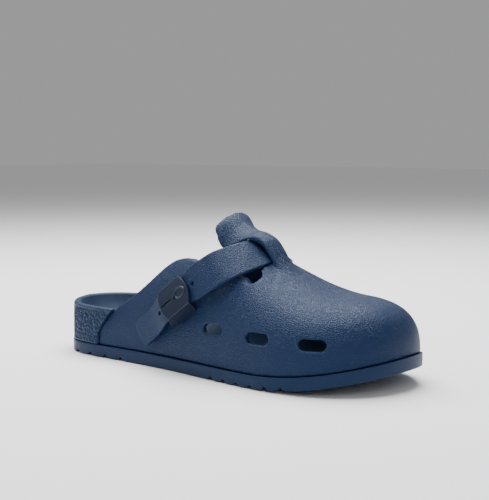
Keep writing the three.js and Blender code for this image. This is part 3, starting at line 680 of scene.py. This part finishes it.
def makeFootbed():
    station = stations(footbed["rimInset"], np.linspace(0, 1, 170))
    x = station["x"][:, 0]
    top = spineX(x)
    fore = smoothstep(x, along(-0.54), along(0.2))
    heelRim = footbed["heelRim"] - footbed["rimFall"] * (x + halfLength)
    rim = heelRim + (footbed["foreRim"] + spring(x) - heelRim) * fore
    floor = footbed["heelFloor"] + (footbed["toeFloor"] - footbed["heelFloor"]) * fore + spring(top)
    bottom = rimLine(x) + shoe["gap"]
    lip = footbed["rimLip"] / footbed["span"]
    ring = []
    for side in (-1, 1):
        edge = station[side][:, 0]
        edgeTop = rim - (footbed["medialRise"] * station["roundEnd"][:, 0] if side < 0 else 0)
        spots = [(0, bottom), (0.003, bottom + (edgeTop - bottom) / 2), (0.01, edgeTop), (lip / 2, edgeTop),
                 (lip, edgeTop)]
        spots += [(lip + (1 - lip) * w, floor + (edgeTop - floor) * (1 - w) ** footbed["bowl"])
                  for w in np.linspace(0, 1, 24)[1:]]
        rows = [np.stack([x + (top - x) * w, edge + (spineY(top) - edge) * w, z], 1) for w, z in spots]
        ring += rows if side < 0 else rows[-2::-1]
    piece = skin("footbedCup", np.stack(ring, axis=1))
    band = skin("bandTool", formRows(4, -4, 120, 30))
    carve(band, skin("innerTool", formRows(-shoe["wall"] - shoe["gap"], -8, 120, 30)))
    carve(band, mouthTool(-shoe["gap"]))
    carve(piece, band)
    recast(piece)
    pebbleWall(piece)
    return piece


# Raised pebbles over the outside of the heel, between two smooth borders
def pebbleWall(piece):
    def wallShare():
        spots, outward = coordinates(piece), normals(piece)
        rim = footbed["heelRim"] - footbed["rimFall"] * (spots[:, 0] + halfLength)
        rim -= footbed["medialRise"] * (spots[:, 1] < 0)
        base = rimLine(spots[:, 0])
        border, fade = footbed["border"], footbed["borderFade"]
        faces = (spots[:, 1] - 0.5) * outward[:, 1] + (spots[:, 0] + 0.75 * halfLength) * outward[:, 0]
        level = smoothstep(spots[:, 2], base + border, base + border + fade)
        level *= smoothstep(-spots[:, 2], -rim + border, -rim + border + fade)
        level *= smoothstep(np.hypot(outward[:, 0], outward[:, 1]), 0.75, 0.9)
        start, end = footbed["pebbleEnds"]
        return spots, outward, level * (faces > 0) * smoothstep(-spots[:, 0], along(start), along(end))

    noise.seed_set(footbed["pebbleSeed"])
    _, _, share = wallShare()
    bpy.ops.object.select_all(action="DESELECT")
    for polygon in piece.data.polygons:
        polygon.select = any(share[i] > 0 for i in polygon.vertices)
    for edge in piece.data.edges:
        edge.select = all(share[i] > 0 for i in edge.vertices)
    for vertex in piece.data.vertices:
        vertex.select = bool(share[vertex.index] > 0)
    bpy.context.view_layer.objects.active = piece
    bpy.ops.object.mode_set(mode="EDIT")
    bpy.ops.mesh.select_mode(type="FACE")
    bpy.ops.mesh.subdivide(number_cuts=1)
    bpy.ops.object.mode_set(mode="OBJECT")
    spots, outward, share = wallShare()
    proud = np.zeros(len(spots), np.float32)
    piece.data.attributes["proud"].data.foreach_get("value", proud)
    for i in np.flatnonzero(share > 0):
        warp = footbed["pebbleWarp"] * np.array(noise.noise_vector(Vector(spots[i]) * 0.5))
        stretched = spots[i] / footbed["pebble"] * vector(1, 1, footbed["pebbleTall"]) + warp
        near, _ = noise.voronoi(Vector(stretched))
        hill = smoothstep(near[1] - near[0], *footbed["crack"])
        proud[i] = share[i] * (0.8 * hill - 0.2)
        spots[i] -= outward[i] * footbed["pebbleDepth"] * share[i] * (1 - hill)
    moveTo(piece, spots)
    piece.data.attributes["proud"].data.foreach_set("value", proud)
    print("heel wall pebbled,", len(piece.data.polygons), "faces")


# ---- upper

upper = {
    "vents": [(0.146, 33.4), (0.424, 32.3), (0.703, 31.8)],  # place along the foot, height
    "ventLength": 18,
    "ventHeight": 6.9,
    "ribbonY": -0.5,
    "ribbonRound": 0.32,  # power of its section's curve: 1 is an ellipse, 0 is square
    # bridge and flap: place along the foot, height, side drop, half width, thickness, tilt
    "ribbon": [
        (0.455, -1.1, 0.6, 8, 2, 0), (0.4, 0.6, 0.9, 8.8, 3.6, 0), (0.36, 75.2, 1.3, 9.5, 3.8, 0),
        (0.332, 80, 1.8, 9.5, 3.2, 0), (0.308, 85.6, 2.2, 9.5, 3.2, 0), (0.27, 92.2, 2.4, 9.5, 3.6, 0),
        (0.213, 96.4, 2.6, 10, 4.6, 0), (0.17, 97.9, 6.5, 14, 4.4, 0), (0.15, 98.7, 11, 18.5, 3.6, 0.5),
        (0.135, 99.6, 13, 20.5, 3.6, 1), (0.103, 102.2, 13, 20.8, 3.6, 1.5), (0.07, 106, 9.8, 20.2, 3.6, 2.2),
        (0.045, 108.3, 7, 19.2, 3.4, 2.8), (0.032, 109.3, 5.6, 17.6, 3, 2.8),
    ],
    "rootStops": 2,  # first stops, whose height is over the crown
    "sag": (0.27, 0, 0.96),
    "bridgeRoot": (0.36, 76, 13),  # place along the foot, height and reach of its blend
    "flapTip": (0.07, 104, 26),
}


def ribbonRows(count=110, across=36):
    stops = [(along(u), z + (crown(along(u)) if i < upper["rootStops"] else 0), *rest)
             for i, (u, z, *rest) in enumerate(upper["ribbon"])]
    x, z, drop, half, thick, tilt = batten(stops, np.linspace(0, 1, count)).T
    centre = np.stack([x, np.full_like(x, upper["ribbonY"]), z], 1)
    tangent = np.gradient(centre, axis=0)
    tangent /= np.linalg.norm(tangent, axis=1, keepdims=True)
    out = np.cross([0, 1, 0], tangent)
    out *= np.sign(out[:, 2:])
    turned = smoothstep(drop, 3.4, 6)[:, None]
    sag = out * (1 - turned) + np.array(upper["sag"]) * turned
    ring = []
    for angle in np.linspace(math.pi, -math.pi, 2 * across, endpoint=False):
        k, level = (math.copysign(abs(part) ** upper["ribbonRound"], part)
                    for part in (math.cos(angle), math.sin(angle)))
        ring.append(centre + vector(0, k, 0) * half[:, None] + out * ((level - 1) / 2 * thick)[:, None]
                    + sag * (tilt * k - drop * k * k)[:, None])
    return np.stack(ring, axis=1)


def ventTool(side, u, height):
    point, out = onForm(side, along(u), height)
    axes = frameAt(point, (out[0], out[1], 0), (1, 0, 0))
    radius = upper["ventHeight"] / 2
    return prism("ventTool", slotOutline(upper["ventLength"] / 2 - radius, radius), -14, 10, axes)


def postTool(radius, low, high, s, axes, segments=32):
    ring = [(s + radius * math.cos(a), radius * math.sin(a))
            for a in np.arange(segments) * 2 * math.pi / segments]
    return prism("postTool", ring, low, high, axes)


def makeUpper():
    piece = skin("upperShell", formRows(0, shoe["gap"]))
    carve(piece, skin("innerTool", formRows(-shoe["wall"], -6)))
    carve(piece, mouthTool())
    carve(piece, slitTool())
    for u, height in upper["vents"]:
        for side in (-1, 1):
            carve(piece, ventTool(side, u, height))
    carve(piece, postTool(buckle["studHole"], -8, 4, 0, buckleAxes))
    carve(piece, postTool(buckle["studHole"], -8, 4, 0, rivetAxes))
    carve(piece, skin("ribbonTool", ribbonRows()), "UNION")
    carve(piece, skin("strapTool", strapRows(shoe["gap"])))
    recast(piece)
    spots = coordinates(piece)
    u, height, reach = upper["bridgeRoot"]
    away = np.linalg.norm(spots - vector(along(u), upper["ribbonY"], height), axis=1)
    easeAround(piece, 1 - smoothstep(away, 0.5 * reach, reach), 24)
    flapU, flapHeight, flapReach = upper["flapTip"]
    away = np.linalg.norm(spots - vector(along(flapU), upper["ribbonY"], flapHeight), axis=1)
    easeAround(piece, 1 - smoothstep(away, 0.8 * flapReach, flapReach), 10)
    return piece


# ---- strap and buckle pieces

def makeStrap():
    piece = skin("instepStrap", strapRows(0))
    rear, front, half = strap["slot"]
    outline = [(a + (rear + front) / 2, b) for a, b in slotOutline((front - rear) / 2 - half, half)]
    carve(piece, prism("slotTool", outline, 0.5, 12.5, buckleAxes))
    for s in strap["holes"]:
        carve(piece, postTool(strap["holeRadius"], 0.3, 14, s, buckleAxes))
    carve(piece, postTool(buckle["studHole"], -4, 8, 0, rivetAxes))
    recast(piece)
    return piece


# The plate's raised oval, left plain inside
def ovalRing():
    s, t, long, short = buckle["ring"]
    tube = 0.1
    bpy.ops.mesh.primitive_torus_add(major_radius=1, minor_radius=tube, major_segments=72,
                                     minor_segments=12)
    ring = bpy.context.object
    spots = coordinates(ring) * mm
    angle = np.arctan2(spots[:, 1], spots[:, 0])
    wire = buckle["ringWire"] / tube
    reach = (np.hypot(spots[:, 0], spots[:, 1]) - 1) * wire
    level = buckle["plateLevel"] + buckle["ringLift"]
    local = np.stack([s + (long + reach) * np.cos(angle), t + (short + reach) * np.sin(angle),
                      level + spots[:, 2] * wire], 1)
    moveTo(ring, np.array([buckleAxes @ Vector(p) for p in local]))
    return ring


rivet = {
    "shank": (2.0, 6),  # radius, depth below the shell's surface
    # radius and height over the strap, rim to top
    "head": [(5.6, 0), (6, 0.35), (5.9, 0.75), (5.2, 1.35), (4, 1.8), (2.4, 2.1), (0.8, 2.2)],
}


def makeRivet():
    under = strap["rivetRest"] + strap["thickness"] + shoe["gap"]
    shank, depth = rivet["shank"]
    profile = [(shank, -depth), (shank, under)] + [(r, under + rise) for r, rise in rivet["head"]]
    rows = [[rivetAxes @ Vector((r * math.cos(a), r * math.sin(a), n)) for a in np.arange(64) * math.pi / 32]
            for r, n in profile]
    piece = skin("rivetHead", np.array(rows))
    recast(piece)
    return piece


# ---- studio

studio = {
    "camera": (0.4548, -0.5903, 0.1560),
    "back": (0.5957, -0.7971, 0.0986),
    "lens": 76.03,
    "floor": (0.92, 0.92, 0.92, 1),
    "sky": 0.36,
    # place, size and power of each soft light, in metres and watts
    "lights": [((-0.25, 0.25, 1.1), 1.1, 40), ((1.0, -1.0, 0.8), 0.8, 5), ((-0.9, -0.5, 0.6), 0.6, 3)],
}


def makeStudio():
    bpy.ops.mesh.primitive_plane_add(size=12, location=(0, 0, -0.0002))
    floor = bpy.context.object
    floor.name = "paleFloor"
    material = bpy.data.materials.new("paleFloor")
    material.use_nodes = True
    shader = material.node_tree.nodes["Principled BSDF"]
    shader.inputs["Base Color"].default_value = studio["floor"]
    shader.inputs["Roughness"].default_value = 0.9
    floor.data.materials.append(material)
    world = bpy.data.worlds.new("softSky")
    world.use_nodes = True
    world.node_tree.nodes["Background"].inputs["Color"].default_value = (1, 1, 1, 1)
    world.node_tree.nodes["Background"].inputs["Strength"].default_value = studio["sky"]
    bpy.context.scene.world = world
    for place, size, power in studio["lights"]:
        bpy.ops.object.light_add(type="AREA", location=place)
        lamp = bpy.context.object
        lamp.data.size = size
        lamp.data.energy = power
        lamp.rotation_euler = (Vector(place) - Vector((0, 0, 0.04))).to_track_quat("Z", "Y").to_euler()
    bpy.ops.object.camera_add(location=studio["camera"])
    camera = bpy.context.object
    camera.rotation_euler = Vector(studio["back"]).to_track_quat("Z", "Y").to_euler()
    camera.data.lens = studio["lens"]
    camera.data.clip_start = 0.01
    bpy.context.scene.camera = camera
    print("studio made")


# ---- the clog

materials = makeMaterials()
settle(makeSole(), "clog", "sole_foam", materials["soleFoam"], "outsole")
print("sole made")
settle(makeFootbed(), "clog", "footbed_foam", materials["footbedFoamPaintedLight"], "footbed")
print("footbed made")
settle(makeUpper(), "clog", "upper_foam", materials["shellFoam"], "upper")
print("upper made")
settle(makeStrap(), "clog", "strap_foam", materials["strapFoam"], "instep_strap")
print("strap made")
hardware = [
    (refined("buckle_frame", "buckleCover", [ovalRing()]), "frame", "buckle_frame"),
    (refined("buckle_prong", "bucklePin"), "prong", "buckle_prong"),
    (refined("buckle_anchor", "anchorPlate"), "clog", "buckle_anchor"),
    (makeRivet(), "clog", "strap_rivet"),
]
for piece, body, node in hardware:
    settle(piece, body, "buckle_plastic", materials["bucklePlastic"], node)
for node in ("anchor_washer", "rivet_washer", "hinge_pin"):
    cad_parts[node].material_slots[0].material = materials["bucklePlastic"]
print("buckle and rivet made")
makeStudio()
